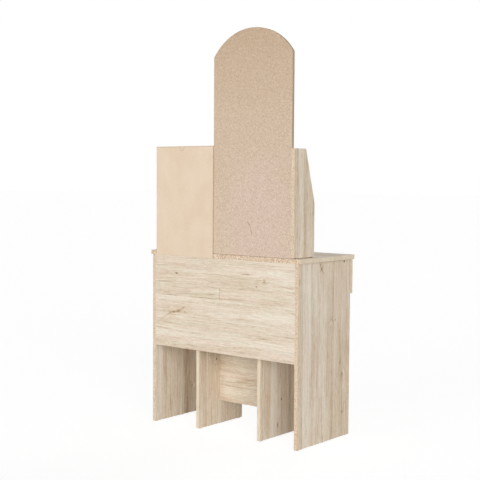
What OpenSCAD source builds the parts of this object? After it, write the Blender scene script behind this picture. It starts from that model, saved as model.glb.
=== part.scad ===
// Vanity table of laminated chipboard with an arched mirror, a small shelf cabinet,
// two drawers on telescopic slides and a padded stool that is pushed under it.
// Millimetres. +Z is up, the user sits on the -Y side and +X is to the user's right.
// The origin is on the floor, under the middle of the whole piece.

/* [Table] */
// Width of the tabletop
table_w = 800; // [760:1:900]
// Depth of the tabletop
table_d = 375; // [355:1:420]
// Height of the tabletop above the floor
table_h = 750; // [720:1:800]
// Thickness of the tabletop
top_t = 18; // [16:1:25]
// How far the tabletop passes each side panel
top_overhang = 11; // [0:0.5:16]
// Thickness of every other board
panel_t = 16; // [15:0.5:19]
// Depth of the side panels
side_d = 363; // [350:1:380]
// Height of the back panel, from the tabletop down
back_h = 392; // [260:1:480]
// Bevel on the long corners of a board
arris = 0.4; // [0.2:0.1:0.8]

/* [Drawers] */
// Height of a drawer front
front_h = 140; // [130:1:170]
// Gap between the fronts, and above them
front_gap = 3; // [2:0.5:5]
// Thickness of the bumpers that keep a front off the table
bumper_t = 1; // [0.8:0.1:3]
// How far the fronts hang below the board under the drawers
front_lip = 2; // [0:0.5:6]
// Height of a drawer box
box_h = 90; // [70:1:94]
// Depth of a drawer box
box_d = 318; // [310:1:325]
// Thickness of the boards of a drawer box
box_t = 12; // [10:0.5:15]
// Space between the board under the drawers and a drawer box
box_lift = 14; // [8:0.5:18]
// Thickness of the drawer bottoms
bottom_t = 3; // [3:0.2:4]
// How far up a drawer box its bottom sits
bottom_up = 7; // [5:0.5:12]
// Depth of the grooves that hold the drawer bottoms
groove_d = 5; // [3:0.5:7]
// How far a drawer pulls out
drawer_travel = 250; // [150:1:260]

/* [Slides] */
// Length of a telescopic slide
slide_len = 300; // [270:1:305]
// Height of a slide
slide_h = 35; // [30:1:45]
// Thickness of a slide, from the wall to the drawer
slide_w = 13; // [12.5:0.1:15]
// Sheet thickness of a slide
slide_wall = 1.2; // [1:0.1:1.4]
// Gap between the members of a slide
slide_play = 0.4; // [0.3:0.05:0.5]

/* [Knobs] */
// Diameter of a knob
knob_d = 28; // [20:1:36]
// How far a knob stands out
knob_reach = 24; // [18:1:32]
// Diameter of a knob's foot
knob_foot_d = 14; // [12:0.5:18]

/* [Mirror] */
// Width of the mirror's backing board
mirror_w = 398; // [340:1:440]
// Height of the backing board up to its shoulders
mirror_shoulder_h = 799; // [600:1:900]
// How far the arched top rises above the shoulders
mirror_rise = 106; // [60:1:160]
// Thickness of the backing board
mirror_board_t = 12; // [10:0.5:16]
// Seam between the backing board and the tabletop
mirror_seam = 0.9; // [0:0.1:2]
// How far the backing board is set in from the rear
mirror_recess = 4; // [0:0.5:20]
// Thickness of the mirror glass
glass_t = 3; // [3:0.5:5]
// Border of the backing board left free around the glass
glass_border = 4; // [2:0.5:20]
// Thickness of the adhesive under the glass
glue_t = 0.4; // [0.2:0.1:1]

/* [Cabinet] */
// How far the mirror and the cabinet are set in from the tabletop's ends
hutch_inset = 34; // [20:1:60]
// Height of the upright panels that stand on the tabletop
upright_h = 425; // [380:1:500]
// Depth of the uprights at the foot
upright_d = 135; // [120:1:160]
// Depth of the uprights at the top
upright_top_d = 75; // [60:1:110]
// Height at which the front of the uprights starts to slope
slope_start = 213; // [150:1:260]
// Space between a shelf's front edge and the front of the uprights
shelf_setback = 5; // [2:0.5:20]
// Height of the upper shelf above the lower one
shelf_pitch = 104; // [80:1:130]
// Thickness of the rubber pads under the uprights
pad_t = 2.5; // [1.5:0.5:4]
// Thickness of the hardboard sheet on the back of the cabinet
sheet_t = 3; // [2.5:0.5:5]
// How far the sheet laps over the mirror's backing board
sheet_lap = 2; // [0:0.5:6]
// Margin between the sheet and the cabinet's outer edges
sheet_margin = 1; // [0:0.5:4]

/* [Stool] */
// Width of the stool
stool_w = 344; // [310:1:400]
// Depth of the stool
stool_d = 288; // [260:1:310]
// Height of the stool's board seat
stool_h = 420; // [380:1:460]
// Height of the stool's cross panel above the floor
cross_z = 103; // [60:1:160]
// Thickness of the seat cushion
cushion_t = 34; // [20:1:60]
// Corner radius of the seat cushion
cushion_r = 22; // [10:1:40]
// Gap between the cushion and the board seat
cushion_gap = 0.3; // [0.3:0.1:1]
// How far the cushion is set in from the edges of the board seat
cushion_inset = 3; // [1:0.5:12]
// Gap between the stool and the back panel
stool_gap = 4; // [2:0.5:20]
// How far the stool stands to the user's left
stool_left = 18; // [-100:1:100]
// How far the stool pulls out
stool_travel = 450; // [300:1:600]

/* [Feet] */
// Height of a glide
glide_h = 3; // [2:0.5:8]
// Diameter of a glide
glide_d = 14; // [10:0.5:15]
// Distance from a panel's end to the middle of its glide
glide_end = 15; // [10:1:40]

/* [Fittings] */
// Diameter of a cam lock
cam_d = 15; // [14:0.5:16]
// Depth of a cam lock
cam_h = 12.5; // [11:0.5:13]
// Distance from a board's end to the middle of its cam lock
cam_edge = 34; // [28:0.5:40]
// Diameter of a cam bolt
bolt_d = 6; // [5:0.5:7]
// Length of a cam bolt in the board that it screws into
bolt_grip = 11; // [9:0.5:12]
// Diameter of a dowel
dowel_d = 8; // [6:0.5:8]
// Length of a dowel in each of the two boards
dowel_grip = 12; // [9:0.5:13]
// Diameter of the thinner dowels in the mirror's backing board
thin_dowel_d = 6; // [5:0.5:7]
// Diameter of a screw
screw_d = 3.6; // [3:0.1:4.5]
// Diameter of a screw's head
screw_head_d = 7; // [6:0.5:8]
// Height of a screw's head
screw_head_h = 2; // [1.6:0.1:2.2]
// Diameter of a shelf pin
pin_d = 5; // [4:0.5:6]
// Length of a shelf pin inside the wall, and outside it
pin_reach = 8; // [6:0.5:10]
// Diameter of a nail
nail_d = 1.6; // [1.2:0.1:2]
// Length of a nail under its head
nail_len = 22; // [15:1:30]
// Diameter of a nail's head
nail_head_d = 2.8; // [2.4:0.1:5]
// Thickness of a nail's head
nail_head_t = 0.4; // [0.3:0.1:0.8]
// Radial clearance of every pin, dowel, cam and screw in its hole
play = 0.05; // [0.02:0.01:0.1]

/* [Hidden] */
$fn = 48;
arc_fn = 240;
slot_w = 1.4;
slot_t = 1.2;
cam_slot = 9;
screw_slot = 3.9;
cut = 1;

// Table
side_x = table_w / 2 - top_overhang;
bay_x = side_x - panel_t;
under_top = table_h - top_t;
back_z = under_top - back_h;
end_space = 60;
dowel_x = bay_x - 2 * end_space;
inner_rows = [0.3, 0.7];

// Drawers
front_top = under_top - front_gap;
front_z = front_top - front_h;
deck_z = front_z + front_lip;
deck_top = deck_z + panel_t;
front_back_y = -(side_d + bumper_t);
front_y = front_back_y - panel_t;
front_in = front_gap / 2;
bay_in = panel_t / 2;
box_in = bay_in + slide_w;
box_out = bay_x - slide_w;
box_mid = (box_in + box_out) / 2;
front_mid = (front_in + side_x) / 2;
box_z = deck_top + box_lift;
box_top = box_z + box_h;
box_back_y = front_back_y + box_d;
bottom_z = box_z + bottom_up;
groove_play = 0.1;
back_drop = 6;
screw_in = 14;
bumper_d = 5;
knob_dome = 7;
bumper_play = 0.4;
box_screw = 34;
front_screw = 24;
front_screw_in = 50;

// Slides
slide_front_y = -(side_d - 3);
slide_z = box_z + box_h / 2;
head_room = 2.4;
mid_u = slide_wall + head_room;
inner_u = mid_u + slide_wall + slide_play;
outer_half = slide_h / 2;
middle_half = outer_half - slide_wall - slide_play;
inner_half = middle_half - slide_wall - slide_play;
outer_flange = slide_w - 3;
middle_flange = slide_w - 2;
slide_screw = 8;
slide_screw_places = [0.12, 0.88];

// Mirror and cabinet
hutch_x = table_w / 2 - hutch_inset;
hutch_z = table_h + pad_t;
hutch_top = hutch_z + upright_h;
mirror_x0 = -hutch_x + panel_t;
mirror_x1 = mirror_x0 + mirror_w;
mirror_mid = (mirror_x0 + mirror_x1) / 2;
half_mirror = mirror_w / 2;
arc_r = (half_mirror * half_mirror + mirror_rise * mirror_rise) / (2 * mirror_rise);
arc_z = mirror_shoulder_h + mirror_rise - arc_r;
mirror_play = 0.1;
glass_y = -(mirror_recess + mirror_board_t + glue_t);
mirror_z = table_h + mirror_seam;
niche_x0 = mirror_x1 + panel_t;
niche_x1 = hutch_x - panel_t;
shelf_play = 0.5;
lower_shelf_z = hutch_z + slope_start;
upper_shelf_z = lower_shelf_z + shelf_pitch;
slope_run = upright_h - slope_start;
upright_mids = [-hutch_x + panel_t / 2, mirror_x1 + panel_t / 2, hutch_x - panel_t / 2];
pad_d = panel_t - 2;
pad_end = 12;
upright_screw = 44;
upright_screw_places = [0.25, 0.7];
side_dowel_rows = [0.2, 0.55, 0.9];
foot_dowel_rows = [0.15, 0.6];

// Stool
stool_y1 = -(panel_t + stool_gap);
stool_y0 = stool_y1 - stool_d;
stool_mid_y = (stool_y0 + stool_y1) / 2;
leg_top = stool_h - panel_t;
stool_half = stool_w / 2;
cross_half = stool_half - panel_t;
cross_rows = [0.2, 0.75];

// The depth runs from the knobs' tips to the heads of the nails.
y_origin = (knob_reach - front_y - sheet_t - nail_head_t) / 2;

oak = "#d9c8b1";
oak_dark = "#c8b7a2";
raw_mdf = "#cfb9a0";
hardboard = "#e7d4bd";
steel = "#b9bcc0";
zinc = "#9a9da1";
beech = "#d8b98a";
white_plastic = "#e8e6e0";
grey_rubber = "#6b6b68";
cushion_cloth = "#d9cfc1";
mirror_silver = "#c9d3d6";

SIDES = [-1, 1];

// ---------------------------------------------------------------- shared shapes

// Rotation that turns +Z to point along d.
function turn(d) =
    d.x > 0 ? [0, 90, 0] :
    d.x < 0 ? [0, -90, 0] :
    d.y > 0 ? [-90, 0, 0] :
    d.y < 0 ? [90, 0, 0] :
    d.z < 0 ? [180, 0, 0] : [0, 0, 0];

module in_frame() {
    translate([0, y_origin, 0]) children();
}

module aimed(at, d) {
    translate(at) rotate(turn(d)) children();
}

module bevelled(a, b) {
    c = arris;
    polygon([[c, 0], [a - c, 0], [a, c], [a, b - c], [a - c, b], [c, b], [0, b - c], [0, c]]);
}

// A board between two corners, with a fine bevel along every edge.
module board(low, high) {
    s = high - low;
    translate(low) intersection() {
        linear_extrude(s.z) bevelled(s.x, s.y);
        translate([0, s.y, 0]) rotate([90, 0, 0]) linear_extrude(s.y) bevelled(s.x, s.z);
        rotate([90, 0, 90]) linear_extrude(s.x) bevelled(s.y, s.z);
    }
}

// ---------------------------------------------------------------- fittings

// A cam joint is [middle of the cam on its board's face, way into the board, way of the bolt].
function bolt_start(j) = j[0] + j[1] * panel_t / 2;

module cam_lock(j) {
    difference() {
        aimed(j[0], j[1]) cylinder(d = cam_d, h = cam_h);
        aimed(bolt_start(j), j[2]) cylinder(d = bolt_d + 2 * play, h = cam_d);
        aimed(j[0], j[1]) for (a = [0, 90])
            rotate(a) cube([cam_slot, slot_w, 2 * slot_t], center = true);
    }
}

module cam_bolt(j) {
    aimed(bolt_start(j), j[2]) cylinder(d = bolt_d, h = cam_edge + bolt_grip);
}

module cam_cuts(joints) {
    for (j = joints) {
        aimed(j[0] - j[1] * cut, j[1]) cylinder(d = cam_d + 2 * play, h = cam_h + cut + play);
        aimed(bolt_start(j), j[2]) cylinder(d = bolt_d + 2 * play, h = cam_edge + bolt_grip + play);
    }
}

// A dowel is [middle, way]; it reaches grip both ways.
module dowel(j, d = dowel_d, grip = dowel_grip) {
    aimed(j[0] - j[1] * grip, j[1]) cylinder(d = d, h = 2 * grip);
}

module dowel_cuts(joints, d = dowel_d, grip = dowel_grip) {
    for (j = joints) dowel(j, d + 2 * play, grip + play);
}

// A countersunk screw is [middle of its head on the face, way in].
module screw(j, len) {
    difference() {
        screw_body(j, len, 0);
        aimed(j[0], j[1]) for (a = [0, 90])
            rotate(a) cube([screw_slot, slot_w / 2, slot_t], center = true);
    }
}

module screw_body(j, len, gap) {
    aimed(j[0], j[1]) union() {
        cylinder(d = screw_d + 2 * gap, h = len + gap);
        cylinder(d1 = screw_head_d + 2 * gap, d2 = screw_d + 2 * gap, h = screw_head_h + gap);
    }
}

module screw_cuts(places, len) {
    for (j = places) screw_body(j, len, play);
}

// A pan-head screw for sheet steel: its head stands on the face.
module pan_screw(j, len) {
    aimed(j[0], j[1]) difference() {
        union() {
            translate([0, 0, -screw_head_h]) cylinder(d = screw_head_d, h = screw_head_h);
            cylinder(d = screw_d, h = len);
        }
        for (a = [0, 90]) translate([0, 0, -screw_head_h])
            rotate(a) cube([screw_slot, slot_w / 2, slot_t], center = true);
    }
}

module pan_screw_cuts(places, len) {
    for (j = places) aimed(j[0] - j[1] * cut, j[1])
        cylinder(d = screw_d + 2 * play, h = len + cut + play);
}

// A nail-on glide under a panel, [middle of its seat on the panel's lower edge].
module glide(at) {
    translate(at) union() {
        translate([0, 0, -glide_h]) cylinder(d1 = glide_d - 2, d2 = glide_d, h = glide_h);
        cylinder(d = nail_d, h = nail_len / 2);
    }
}

module glide_cuts(places) {
    for (p = places) translate([p.x, p.y, p.z - cut])
        cylinder(d = nail_d + 2 * play, h = nail_len / 2 + cut + play);
}

// ---------------------------------------------------------------- places of the fittings

function rows(y0, y1, shares) = [for (s = shares) y0 + (y1 - y0) * s];

side_rows = rows(-end_space, -(side_d - end_space), [0, 1]);
deck_rows = rows(-(panel_t + end_space), -(side_d - end_space), [0, 1]);
back_rows = rows(back_z, under_top, [0.15, 0.9]);
mid_rows = rows(-end_space, -(side_d - end_space), inner_rows);
divider_rows = rows(-(panel_t + end_space), -(side_d - end_space), [0.1, 0.9]);

top_cams = [for (s = SIDES, y = side_rows)
    [[s * bay_x, y, under_top - cam_edge], [s, 0, 0], [0, 0, 1]]];
deck_cams = [for (s = SIDES, y = deck_rows)
    [[s * (bay_x - cam_edge), y, deck_z], [0, 0, 1], [s, 0, 0]]];
back_cams = [for (s = SIDES, z = back_rows)
    [[s * (bay_x - cam_edge), -panel_t, z], [0, 1, 0], [s, 0, 0]]];
carcass_cams = concat(top_cams, deck_cams, back_cams);

side_top_dowels = [for (s = SIDES, y = mid_rows) [[s * (bay_x + panel_t / 2), y, under_top], [0, 0, 1]]];
back_top_dowels = [for (s = SIDES) [[s * dowel_x, -panel_t / 2, under_top], [0, 0, 1]]];
deck_back_dowels = [for (s = SIDES) [[s * dowel_x, -panel_t, deck_z + panel_t / 2], [0, -1, 0]]];
divider_top_dowels = [for (y = divider_rows) [[0, y, under_top], [0, 0, 1]]];
divider_deck_dowels = [for (y = divider_rows) [[0, y, deck_top], [0, 0, 1]]];
carcass_dowel_places = concat(side_top_dowels, back_top_dowels, deck_back_dowels,
    divider_top_dowels, divider_deck_dowels);

table_glide_places = [for (s = SIDES, y = [-glide_end, -side_d / 2, -(side_d - glide_end)])
    [s * (bay_x + panel_t / 2), y, glide_h]];

upright_pad_places = [for (x = upright_mids, y = [-pad_end, -(upright_d - pad_end)]) [x, y, table_h]];
upright_screw_list = [for (x = upright_mids, s = upright_screw_places)
    [[x, -upright_d * s, under_top], [0, 0, 1]]];
cabinet_dowel_places = [for (x = [mirror_x1 + panel_t / 2, hutch_x - panel_t / 2], s = [0.4, 0.8])
    [[x, -upright_top_d * s, hutch_top], [0, 0, 1]]];

mirror_board_mid_y = -(mirror_recess + mirror_board_t / 2);
mirror_side_dowels = [for (s = SIDES, r = side_dowel_rows)
    [[mirror_mid + s * half_mirror, mirror_board_mid_y, hutch_z + upright_h * r], [s, 0, 0]]];
mirror_foot_dowels = [for (r = foot_dowel_rows)
    [[mirror_x0 + mirror_w * r, mirror_board_mid_y, table_h + mirror_seam / 2], [0, 0, 1]]];
mirror_dowel_places = concat(mirror_side_dowels, mirror_foot_dowels);

function upright_front(z) =
    z < slope_start ? upright_d :
    upright_d - (upright_d - upright_top_d) * (z - slope_start) / slope_run;

// The lower shelf is as deep as the uprights' foot, the upper one as the slope leaves it.
function shelf_depth(z) = upright_front(z + panel_t - hutch_z) - shelf_setback;

function shelf_pin_places(z) = [for (s = SIDES, r = [0.2, 0.75])
    [[s > 0 ? niche_x1 : niche_x0, -shelf_depth(z) * r, z - pin_d / 2], [s, 0, 0]]];
all_pins = concat(shelf_pin_places(lower_shelf_z), shelf_pin_places(upper_shelf_z));

sheet_x0 = mirror_x1 - sheet_lap;
sheet_x1 = hutch_x - sheet_margin;
sheet_top = hutch_top + panel_t - sheet_margin;
nail_rows = rows(hutch_z, hutch_top, [0.06, 0.28, 0.5, 0.72, 0.94]);
nail_columns = rows(mirror_x1, hutch_x, [0.25, 0.5, 0.75]);
nail_places = concat(
    [for (x = [mirror_x1 + panel_t / 2, hutch_x - panel_t / 2], z = nail_rows) [x, z]],
    [for (x = nail_columns, z = [hutch_top + panel_t / 2, under_top + top_t / 2]) [x, z]]);

// ---------------------------------------------------------------- table

module tabletop() {
    color(oak) difference() {
        board([-table_w / 2, -table_d, under_top], [table_w / 2, 0, table_h]);
        cam_cuts(top_cams);
        dowel_cuts(concat(side_top_dowels, back_top_dowels, divider_top_dowels));
        dowel_cuts(mirror_foot_dowels, thin_dowel_d);
        screw_cuts(upright_screw_list, upright_screw);
        nail_cuts();
    }
}

module side_panel(s) {
    color(oak_dark) difference() {
        board([s > 0 ? bay_x : -side_x, -side_d, glide_h], [s > 0 ? side_x : -bay_x, 0, under_top]);
        cam_cuts(carcass_cams);
        dowel_cuts(side_top_dowels);
        glide_cuts(table_glide_places);
        slide_screw_cuts(s);
    }
}

module back_panel() {
    color(oak) difference() {
        board([-bay_x, -panel_t, back_z], [bay_x, 0, under_top]);
        cam_cuts(back_cams);
        dowel_cuts(concat(back_top_dowels, deck_back_dowels));
    }
}

module drawer_deck() {
    color(oak) difference() {
        board([-bay_x, -side_d, deck_z], [bay_x, -panel_t, deck_top]);
        cam_cuts(deck_cams);
        dowel_cuts(concat(deck_back_dowels, divider_deck_dowels));
    }
}

module drawer_divider() {
    color(oak) difference() {
        board([-panel_t / 2, -side_d, deck_top], [panel_t / 2, -panel_t, under_top]);
        dowel_cuts(concat(divider_top_dowels, divider_deck_dowels));
        for (s = SIDES) slide_screw_cuts(s);
    }
}

module carcass_cam_locks() {
    color(zinc) for (j = carcass_cams) cam_lock(j);
}

module carcass_cam_bolts() {
    color(steel) for (j = carcass_cams) cam_bolt(j);
}

module carcass_dowels() {
    color(beech) for (j = carcass_dowel_places) dowel(j);
}

module table_glides() {
    color(white_plastic) for (p = table_glide_places) glide(p);
}

// ---------------------------------------------------------------- mirror and cabinet

// An upright with a vertical foot and a front that slopes back to the top.
module upright(x) {
    color(oak_dark) difference() {
        translate([x, 0, hutch_z]) rotate([90, 0, 90]) linear_extrude(panel_t)
            polygon([[0, 0], [-upright_d, 0], [-upright_d, slope_start],
                [-upright_top_d, upright_h], [0, upright_h]]);
        screw_cuts(upright_screw_list, upright_screw);
        dowel_cuts(cabinet_dowel_places);
        dowel_cuts(mirror_side_dowels, thin_dowel_d);
        for (j = all_pins) shelf_pin(j, play);
        nail_cuts();
    }
}

module cabinet_top() {
    color(oak) difference() {
        board([mirror_x1, -upright_top_d, hutch_top], [hutch_x, 0, hutch_top + panel_t]);
        dowel_cuts(cabinet_dowel_places);
        nail_cuts();
    }
}

module cabinet_shelf(z) {
    color(oak) board([niche_x0 + shelf_play, -shelf_depth(z), z],
        [niche_x1 - shelf_play, -shelf_play, z + panel_t]);
}

module shelf_pin(j, gap = 0) {
    aimed(j[0] - j[1] * (pin_reach + gap), j[1])
        cylinder(d = pin_d + 2 * gap, h = 2 * (pin_reach + gap));
}

module shelf_pins() {
    color(steel) for (j = all_pins) shelf_pin(j);
}

module cabinet_back_sheet() {
    color(hardboard) difference() {
        translate([sheet_x0, 0, under_top])
            cube([sheet_x1 - sheet_x0, sheet_t, sheet_top - under_top]);
        nail_cuts();
    }
}

module nail(p, gap = 0) {
    aimed([p[0], sheet_t, p[1]], [0, -1, 0]) union() {
        translate([0, 0, -nail_head_t]) cylinder(d = nail_head_d, h = nail_head_t);
        cylinder(d = nail_d + 2 * gap, h = nail_len + gap);
    }
}

module nail_cuts() {
    for (p = nail_places) nail(p, play);
}

module sheet_nails() {
    color(steel) for (p = nail_places) nail(p);
}

// Outline of the mirror: a rectangle whose top is one arc, cut in all round by an inset.
module mirror_outline(inset) {
    translate([-half_mirror + inset, inset])
        square([mirror_w - 2 * inset, mirror_shoulder_h - inset]);
    intersection() {
        translate([0, arc_z]) circle(r = arc_r - inset, $fn = arc_fn);
        translate([-half_mirror + inset, mirror_shoulder_h - 2 * inset])
            square([mirror_w - 2 * inset, mirror_rise + 2 * inset]);
    }
}

module upright_plate(y_front, t, inset) {
    translate([mirror_mid, y_front + t, mirror_z]) rotate([90, 0, 0])
        linear_extrude(t) mirror_outline(inset);
}

module mirror_board() {
    color(raw_mdf) difference() {
        intersection() {
            upright_plate(-(mirror_recess + mirror_board_t), mirror_board_t, 0);
            translate([mirror_x0 + mirror_play, -upright_d, 0])
                cube([mirror_w - 2 * mirror_play, upright_d, 2 * hutch_top]);
        }
        dowel_cuts(mirror_dowel_places, thin_dowel_d);
    }
}

module mirror_adhesive() {
    color(grey_rubber)
        upright_plate(glass_y, glue_t, glass_border * 3);
}

module mirror_glass() {
    color(mirror_silver)
        upright_plate(glass_y - glass_t, glass_t, glass_border);
}

module mirror_dowels() {
    color(beech) for (j = mirror_dowel_places) dowel(j, thin_dowel_d);
}

module upright_pads() {
    color(grey_rubber) for (p = upright_pad_places) translate(p) cylinder(d = pad_d, h = pad_t);
}

module upright_screws() {
    color(steel) for (j = upright_screw_list) screw(j, upright_screw);
}

module cabinet_top_dowels() {
    color(beech) for (j = cabinet_dowel_places) dowel(j);
}

// ---------------------------------------------------------------- slides

// Every drawer is drawn for the user's right and mirrored for the left.
module on_side(s) {
    if (s > 0) children();
    else mirror([1, 0, 0]) children();
}

// Draws a slide against the divider and its mirror image against the side panel.
module at_both_walls() {
    translate([bay_in, 0, slide_z]) children();
    translate([bay_x, 0, slide_z]) mirror([1, 0, 0]) children();
}

// A channel in (distance from the wall, height), carried along the slide.
module channel(u0, u1, half, web_at_start) {
    web = web_at_start ? u0 : u1 - slide_wall;
    translate([0, slide_front_y + slide_len, 0]) rotate([90, 0, 0]) linear_extrude(slide_len) {
        translate([web, -half]) square([slide_wall, 2 * half]);
        translate([u0, -half]) square([u1 - u0, slide_wall]);
        translate([u0, half - slide_wall]) square([u1 - u0, slide_wall]);
    }
}

slide_screw_rows = rows(slide_front_y, slide_front_y + slide_len, slide_screw_places);
wall_screw_list = [for (y = slide_screw_rows) [[slide_wall, y, 0], [-1, 0, 0]]];
drawer_screw_list = [for (y = slide_screw_rows) [[slide_w - slide_wall, y, 0], [1, 0, 0]]];

module slide_screw_cuts(s) {
    on_side(s) at_both_walls() pan_screw_cuts(wall_screw_list, slide_screw);
}

module slide_outer_members() {
    color(zinc) for (s = SIDES) on_side(s) at_both_walls() difference() {
        channel(0, outer_flange, outer_half, true);
        pan_screw_cuts(wall_screw_list, slide_screw);
    }
}

module slide_wall_screws() {
    color(steel) for (s = SIDES) on_side(s) at_both_walls()
        for (j = wall_screw_list) pan_screw(j, slide_screw);
}

module slide_middle_members(s) {
    color(zinc) on_side(s) at_both_walls() channel(mid_u, middle_flange, middle_half, true);
}

module drawer_slide_members(s) {
    color(zinc) on_side(s) at_both_walls() difference() {
        channel(inner_u, slide_w, inner_half, false);
        pan_screw_cuts(drawer_screw_list, slide_screw);
    }
}

// ---------------------------------------------------------------- drawers

corner_heights = [box_z + screw_in, box_top - screw_in];
corner_screw_list = concat(
    [for (z = corner_heights) [[box_out, front_back_y + box_t / 2, z], [-1, 0, 0]]],
    [for (z = corner_heights) [[box_in, front_back_y + box_t / 2, z], [1, 0, 0]]],
    [for (z = corner_heights) [[box_out, box_back_y - box_t / 2, z], [-1, 0, 0]]],
    [for (z = corner_heights) [[box_in, box_back_y - box_t / 2, z], [1, 0, 0]]]);
front_screw_list = [for (x = [box_in + front_screw_in, box_out - front_screw_in], z = corner_heights)
    [[x, front_back_y + box_t, z], [0, -1, 0]]];
knob_z = (front_z + front_top) / 2;
knob_screw = [[front_mid, front_back_y + box_t, knob_z], [0, -1, 0]];
knob_screw_len = box_t + panel_t + knob_reach / 2;
bumper_places = [for (x = [(front_in + bay_in) / 2, side_x - panel_t / 2],
    z = [front_z + screw_in, front_top - screw_in]) [x, front_back_y, z]];

module drawer_front(s) {
    color(oak) on_side(s) difference() {
        board([front_in, front_y, front_z], [side_x, front_back_y, front_top]);
        screw_cuts(front_screw_list, front_screw);
        screw_cuts([knob_screw], knob_screw_len);
    }
}

module bottom_groove() {
    translate([box_in + box_t - groove_d - groove_play, front_back_y + box_t - groove_d - groove_play,
            bottom_z - groove_play])
        cube([box_out - box_in - 2 * (box_t - groove_d - groove_play), box_d, bottom_t + 2 * groove_play]);
}

module drawer_box_front(s) {
    color(oak) on_side(s) difference() {
        board([box_in + box_t, front_back_y, box_z], [box_out - box_t, front_back_y + box_t, box_top]);
        bottom_groove();
        screw_cuts(corner_screw_list, box_screw);
        screw_cuts(front_screw_list, front_screw);
        screw_cuts([knob_screw], knob_screw_len);
    }
}

module drawer_side(s, outer) {
    x0 = outer ? box_out - box_t : box_in;
    color(oak) on_side(s) difference() {
        board([x0, front_back_y, box_z], [x0 + box_t, box_back_y, box_top]);
        bottom_groove();
        screw_cuts(corner_screw_list, box_screw);
        at_both_walls() pan_screw_cuts(drawer_screw_list, slide_screw);
    }
}

module drawer_back(s) {
    color(oak) on_side(s) difference() {
        board([box_in + box_t, box_back_y - box_t, bottom_z + bottom_t + groove_play],
            [box_out - box_t, box_back_y, box_top - back_drop]);
        screw_cuts(corner_screw_list, box_screw);
    }
}

module drawer_bottom(s) {
    color(hardboard) on_side(s)
        translate([box_in + box_t - groove_d, front_back_y + box_t - groove_d, bottom_z])
            cube([box_out - box_in - 2 * (box_t - groove_d), box_d - box_t + groove_d, bottom_t]);
}

// Turned knob: a narrow foot that flares to a domed head.
module drawer_knob(s) {
    neck = knob_foot_d / 2;
    head = knob_d / 2;
    waist = neck - 2;
    base = 1.5;
    rim = knob_reach - knob_dome;
    color(steel) on_side(s) difference() {
        aimed([front_mid, front_y, knob_z], [0, -1, 0]) rotate_extrude($fn = 64) polygon(concat(
            [[0, 0], [neck, 0], [neck, base]],
            [for (a = [0 : 15 : 90]) [waist + (head - waist) * (1 - cos(a)), base + (rim - base) * sin(a)]],
            [for (a = [15 : 15 : 90]) [head * cos(a), rim + (knob_reach - rim) * sin(a)]]));
        screw_cuts([knob_screw], knob_screw_len);
    }
}

module drawer_screws(s) {
    color(steel) on_side(s) {
        for (j = corner_screw_list) screw(j, box_screw);
        for (j = front_screw_list) screw(j, front_screw);
        screw(knob_screw, knob_screw_len);
        at_both_walls() for (j = drawer_screw_list) pan_screw(j, slide_screw);
    }
}

module drawer_bumpers(s) {
    color(white_plastic) on_side(s)
        for (p = bumper_places) aimed(p, [0, 1, 0]) cylinder(d = bumper_d, h = bumper_t - bumper_play);
}

// ---------------------------------------------------------------- stool

seat_cams = [for (s = SIDES, y = rows(stool_y1, stool_y0, [0.15, 0.85]))
    [[s * cross_half, y, leg_top - cam_edge], [s, 0, 0], [0, 0, 1]]];
cross_cams = [for (s = SIDES, z = rows(cross_z, leg_top, cross_rows))
    [[s * (cross_half - cam_edge), stool_mid_y - panel_t / 2, z], [0, 1, 0], [s, 0, 0]]];
stool_cams = concat(seat_cams, cross_cams);
stool_dowel_places = [for (s = SIDES) [[s * cross_half / 2, stool_mid_y, leg_top], [0, 0, 1]]];
stool_glide_places = [for (s = SIDES, y = [stool_y1 - glide_end, stool_y0 + glide_end])
    [s * (stool_half - panel_t / 2), y, glide_h]];

module in_stool() {
    translate([-stool_left, 0, 0]) children();
}

module stool_leg(s) {
    color(oak_dark) in_stool() difference() {
        board([s > 0 ? cross_half : -stool_half, stool_y0, glide_h],
            [s > 0 ? stool_half : -cross_half, stool_y1, leg_top]);
        cam_cuts(stool_cams);
        glide_cuts(stool_glide_places);
    }
}

module stool_cross_panel() {
    color(oak) in_stool() difference() {
        board([-cross_half, stool_mid_y - panel_t / 2, cross_z],
            [cross_half, stool_mid_y + panel_t / 2, leg_top]);
        cam_cuts(cross_cams);
        dowel_cuts(stool_dowel_places);
    }
}

module stool_seat() {
    color(oak) in_stool() difference() {
        board([-stool_half, stool_y0, leg_top], [stool_half, stool_y1, stool_h]);
        cam_cuts(seat_cams);
        dowel_cuts(stool_dowel_places);
    }
}

// A plain closed form with round corners; its crown is soft.
module stool_cushion() {
    w = stool_w - 2 * cushion_inset;
    d = stool_d - 2 * cushion_inset;
    color(cushion_cloth) in_stool()
        translate([0, stool_mid_y, stool_h + cushion_gap]) linear_extrude(cushion_t) {
            square([w, d - 2 * cushion_r], center = true);
            square([w - 2 * cushion_r, d], center = true);
            for (x = SIDES, y = SIDES)
                translate([x * (w / 2 - cushion_r), y * (d / 2 - cushion_r)]) circle(r = cushion_r);
        }
}

module stool_cam_locks() {
    color(zinc) in_stool() for (j = stool_cams) cam_lock(j);
}

module stool_cam_bolts() {
    color(steel) in_stool() for (j = stool_cams) cam_bolt(j);
}

module stool_dowels() {
    color(beech) in_stool() for (j = stool_dowel_places) dowel(j);
}

module stool_glides() {
    color(white_plastic) in_stool() for (p = stool_glide_places) glide(p);
}

// ---------------------------------------------------------------- nodes

in_frame() tabletop();
in_frame() side_panel(-1);  // side_panel_left
in_frame() side_panel(1);  // side_panel_right
in_frame() back_panel();
in_frame() drawer_deck();
in_frame() drawer_divider();
in_frame() carcass_cam_locks();
in_frame() carcass_cam_bolts();
in_frame() carcass_dowels();
in_frame() table_glides();

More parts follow.
